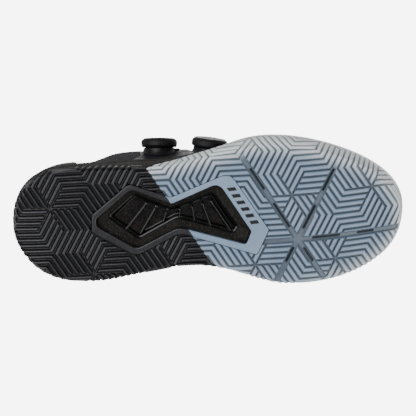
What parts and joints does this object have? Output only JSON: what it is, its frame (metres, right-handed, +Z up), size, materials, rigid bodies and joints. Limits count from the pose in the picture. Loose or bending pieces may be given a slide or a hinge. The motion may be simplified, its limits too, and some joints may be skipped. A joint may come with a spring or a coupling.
{
  "type": "court shoe",
  "caption": "Low-cut right-foot court shoe with a herringbone two-tone rubber tread, a midfoot window and two rotary lace dials on its outer side.",
  "frame": {"origin": "middle of the shoe's footprint box, on the ground plane under the tread", "axes": "+X to the toe, +Y to the medial (inner) side, +Z up"},
  "size_m": [0.3016, 0.1166, 0.1248],
  "materials": {
    "heel_rubber": "black moulded rubber",
    "clear_rubber": "semi-clear ice-blue moulded rubber",
    "foam": "dark speckled foam",
    "shank": "glossy black",
    "board": "fibre board",
    "lining": "knitted lining",
    "textile": "woven mesh",
    "film": "satin moulded film",
    "cable": "coated lace cable",
    "spool_plastic": "moulded",
    "screw_steel": "zinc plated",
    "grip_rubber": "soft knurled rubber",
    "dial_plastic": "moulded",
    "guide_plastic": "moulded"
  },
  "bodies": {
    "shoe": {"outsole_heel": "heel_rubber", "outsole_forefoot": "clear_rubber", "midsole": "foam", "shank_plate": "shank", "strobel_board": "board", "sockliner": "lining", "upper_shell": "textile", "heel_counter": "board", "collar_lining": "lining", "tongue": "lining", "toe_cap": "film", "heel_overlay": "film", "eyestay_lateral": "film", "eyestay_medial": "film", "saddle_medial": "film", "pull_tab": "textile", "dial_rear_base": "dial_plastic", "dial_rear_screw": "screw_steel", "dial_front_base": "dial_plastic", "dial_front_screw": "screw_steel", "saddle_lateral": "film", "guide_front_entry": "guide_plastic", "guide_front_turn1": "guide_plastic", "guide_front_turn2": "guide_plastic", "guide_front_turn3": "guide_plastic", "guide_front_exit": "guide_plastic", "lace_cable_front": "cable", "guide_rear_entry": "guide_plastic", "guide_rear_turn1": "guide_plastic", "guide_rear_turn2": "guide_plastic", "guide_rear_turn3": "guide_plastic", "guide_rear_exit": "guide_plastic", "lace_cable_rear": "cable"},
    "rear_spool": {"dial_rear_spool": "spool_plastic"},
    "rear_drive": {"dial_rear_ratchet_disc": "dial_plastic"},
    "rear_knob": {"dial_rear_knob": "dial_plastic", "dial_rear_grip_ring": "grip_rubber", "dial_rear_cap": "dial_plastic"},
    "front_spool": {"dial_front_spool": "spool_plastic"},
    "front_drive": {"dial_front_ratchet_disc": "dial_plastic"},
    "front_knob": {"dial_front_knob": "dial_plastic", "dial_front_grip_ring": "grip_rubber", "dial_front_cap": "dial_plastic"}
  },
  "joints": [
    {"name": "rear_drive_turn", "type": "hinge", "parent": "shoe", "child": "rear_drive", "pos_m": [-0.03844, -0.03172, 0.068], "axis": [0, -0.9659, 0.259], "continuous": true},
    {"name": "rear_knob_pull", "type": "slide", "parent": "rear_drive", "child": "rear_knob", "axis": [0, -0.9659, 0.259], "range_m": [0, 0.002]},
    {"name": "rear_spool_turn", "type": "hinge", "parent": "shoe", "child": "rear_spool", "pos_m": [-0.03844, -0.03172, 0.068], "axis": [0, -0.9659, 0.259], "continuous": true},
    {"name": "front_drive_turn", "type": "hinge", "parent": "shoe", "child": "front_drive", "pos_m": [0.00049, -0.03499, 0.05516], "axis": [0.1202, -0.9813, 0.1502], "continuous": true},
    {"name": "front_knob_pull", "type": "slide", "parent": "front_drive", "child": "front_knob", "axis": [0.1202, -0.9813, 0.1502], "range_m": [0, 0.002]},
    {"name": "front_spool_turn", "type": "hinge", "parent": "shoe", "child": "front_spool", "pos_m": [0.00049, -0.03499, 0.05516], "axis": [0.1202, -0.9813, 0.1502], "continuous": true}
  ],
  "couplings": [
    {"joint": "rear_spool_turn", "follows": "rear_drive_turn", "ratio": 1},
    {"joint": "front_spool_turn", "follows": "front_drive_turn", "ratio": 1}
  ]
}
